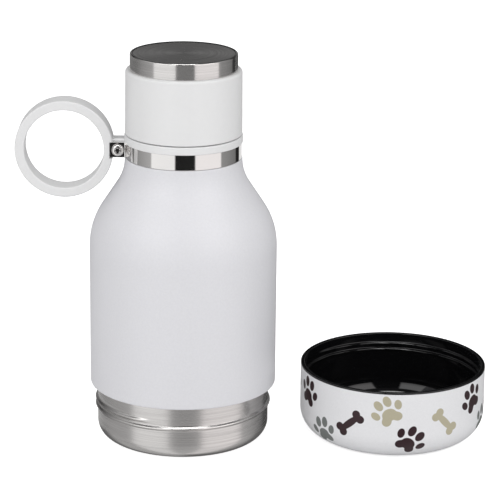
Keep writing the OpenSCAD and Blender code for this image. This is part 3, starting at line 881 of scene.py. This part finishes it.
# The bowl's shell: drawn steel with a deep corner, coated white like the bottle and printed
# with paws and bones in three colours. The print repeats after half a turn.
def blob(tree, spot, place, size, turned):
    """How far a spot is from the middle of an ellipse, 1 on its edge."""
    sockets = {"Vector": spot, "Location": (*place, 0), "Rotation": (0, 0, math.radians(turned)),
               "Scale": (*size, 1)}
    local = add(tree, "ShaderNodeMapping", sockets, vector_type="TEXTURE").outputs[0]
    return add(tree, "ShaderNodeVectorMath", {0: local}, operation="LENGTH").outputs["Value"]


def motif(name, parts):
    """A node group that is 1 on a motif and 0 off it. Its Place is in millimetres.

    parts are ellipses (place, size, angle, blend), each merged with those before it over the
    width blend.
    """
    group, given, made = effect(name, {"Place": "Vector"}, {"Mask": "Float"})
    nearest = 9.0
    for place, size, turned, blend in parts:
        near = blob(group, given[0], place, size, turned)
        nearest = calc(group, "SMOOTH_MIN", nearest, near, blend)
    group.links.new(span(group, nearest, 0.98, 1.04, 1.0, 0.0), made["Mask"])
    return group


paw = motif("paw", [
    ((0, -1.6), (3.9, 3.2), 0, 0.0), ((-3.2, -4.2), (2.6, 2.4), 30, 0.5),
    ((3.2, -4.2), (2.6, 2.4), -30, 0.5), ((-6.7, 1.0), (1.9, 2.6), 24, 0.0),
    ((-2.6, 5.2), (2.1, 2.9), 8, 0.0), ((2.6, 5.2), (2.1, 2.9), -8, 0.0),
    ((6.7, 1.0), (1.9, 2.6), -24, 0.0),
])
bone = motif("bone", [
    ((0, 0), (7.4, 2.1), 0, 0.0), ((-7.0, 1.9), (2.5, 2.4), 0, 0.35),
    ((-7.0, -1.9), (2.5, 2.4), 0, 0.35), ((7.0, 1.9), (2.5, 2.4), 0, 0.35),
    ((7.0, -1.9), (2.5, 2.4), 0, 0.35),
])

bowl_r, bowl_high, bowl_at = 52, 41, (118.6, 5)
corner_r, corner = 14.9, (37.1, 14.9)
foot_t, groove, foot_in, foot_out = 1.2, 0.4, 29.1, 36.1
bowl_low, shell_t = foot_t - groove, 0.6
shell_top = bowl_high - 1.05
low_in = bowl_low + shell_t + groove


def corner_arc(radius, low, upwards=True):
    """The bowl's corner at a radius about its own centre, from a height low to the wall."""
    start = math.degrees(math.asin((low - corner[1]) / radius))
    return arc(corner, radius, *((start, 0) if upwards else (0, start)), 24)


shell_line = np.vstack((
    [(0, bowl_low), (foot_in, bowl_low), (foot_in, foot_t), (foot_out, foot_t)],
    [(foot_out, bowl_low)],
    corner_arc(corner_r, bowl_low),
    [(bowl_r, shell_top), (bowl_r - shell_t, shell_top)],
    corner_arc(corner_r - shell_t, low_in, False),
    [(0, low_in)],
))
to_wall = np.hypot(*np.diff(shell_line[:30], axis=0).T).sum()
dark, beige, grey = (0.022, 0.006, 0.009, 1), (0.42, 0.385, 0.28, 1), (0.15, 0.16, 0.155, 1)
prints = [  # degrees round, height, angle, size, motif, ink
    (-66.8, 29.6, -12, 1.07, paw, dark), (-29.5, 20.8, 41, 0.95, bone, dark),
    (-5.6, 29.7, 32, 1.07, paw, beige), (8.3, 12.5, -38, 1.07, paw, dark),
    (31.1, 21.9, -46, 0.95, bone, beige), (55.4, 29.9, 28, 1.07, paw, dark),
    (-50.1, 11.3, 14, 1.02, paw, grey), (72.6, 13.4, -24, 1.02, paw, grey),
    (87.0, 25.5, 52, 0.95, bone, dark),
]
coat_low, coat_high = (0.72, 0.72, 0.735, 1), (0.745, 0.745, 0.76, 1)
printed, tree, shader = finish("printed_coat", coat_low[:3], 0.4)
shader.inputs["Specular IOR Level"].default_value = 0.35
share, relief = orange_peel(tree)
spot = add(tree, "ShaderNodeUVMap", uv_map="unrolled").outputs[0]
way, rise, _ = add(tree, "ShaderNodeSeparateXYZ", {0: spot}).outputs
repeat = [math.radians(angle) * bowl_r * 0.001 for angle in (100, -80)]
spot = add(
    tree, "ShaderNodeCombineXYZ", {0: calc(tree, "WRAP", way, *repeat), 1: rise}
).outputs[0]
colour = mix(tree, share, coat_low, coat_high)
for angle, high, turned, size, shape, ink in prints:
    sockets = {
        "Vector": spot,
        "Location": (
            math.radians(angle) * bowl_r * 0.001, (to_wall + high - corner[1]) * 0.001, 0
        ),
        "Rotation": (0, 0, math.radians(turned)),
        "Scale": (size * 0.001, size * 0.001, 1),
    }
    local = add(tree, "ShaderNodeMapping", sockets, vector_type="TEXTURE").outputs[0]
    mask = add(tree, "ShaderNodeGroup", node_tree=shape)
    tree.links.new(local, mask.inputs["Place"])
    colour = mix(tree, mask.outputs["Mask"], colour, ink)
tree.links.new(colour, shader.inputs["Base Color"])
tree.links.new(span(tree, share, 0, 1, 0.34, 0.42), shader.inputs["Roughness"])
bump(tree, shader, relief, 0.3, 2e-5)
put(
    lathe("bowl", shell_line, 224, bowl_at),
    printed, "bowl", "bowl_shell",
)

# The bowl's liner: glossy black plastic pressed into the shell, with a round lip over its
# edge. One ridge of thread inside its wall takes hold of the bottle's base.
liner_gap, liner_t, lip_low, lip_round = 0.1, 1.55, bowl_high - 1, 0.5
liner_out = bowl_r - shell_t - liner_gap
liner_in = liner_out - liner_t
floor_low = low_in + liner_gap
liner_line = np.vstack((
    [(0, floor_low)],
    corner_arc(corner_r - shell_t - liner_gap, floor_low),
    [(liner_out, lip_low), (bowl_r, lip_low)],
    arc((bowl_r - lip_round, bowl_high - lip_round), lip_round, 0, 90, 8),
    arc((liner_in + lip_round, bowl_high - lip_round), lip_round, 90, 180, 8),
    corner_arc(corner_r - shell_t - liner_gap - liner_t, floor_low + liner_t, False),
    [(0, floor_low + liner_t)],
))


def moulded_in(t, r, z):
    """The liner's radius, with the thread on the inside of its upright wall."""
    thread = ridge(t, z, 60, 600, low=30.2, lead=bowl_lead, tall=1.1, wide=1.0)
    return r - (np.abs(r - liner_in) < 0.01) * thread


put(
    lathe("liner", finer(liner_line, 26, 38.5, 0.2), 320, bowl_at, form=moulded_in),
    cloudy("glossy_black", (0.004, 0.004, 0.0045), 0.06, 300, 0.1, 1e-6),
    "bowl", "bowl_liner",
)

# The bowl's foot: a ring of soft black rubber, glued into a groove under the shell.
put(
    lathe("foot_ring", rounded([
        (foot_in + close, 0, 0.3), (foot_out - close, 0, 0.3),
        (foot_out - close, foot_t - close, 0), (foot_in + close, foot_t - close, 0),
    ]), 192, bowl_at),
    cloudy("foot_rubber", (0.022, 0.022, 0.023), 0.75, 2500, 0.15, 3e-5),
    "bowl", "bowl_foot",
)
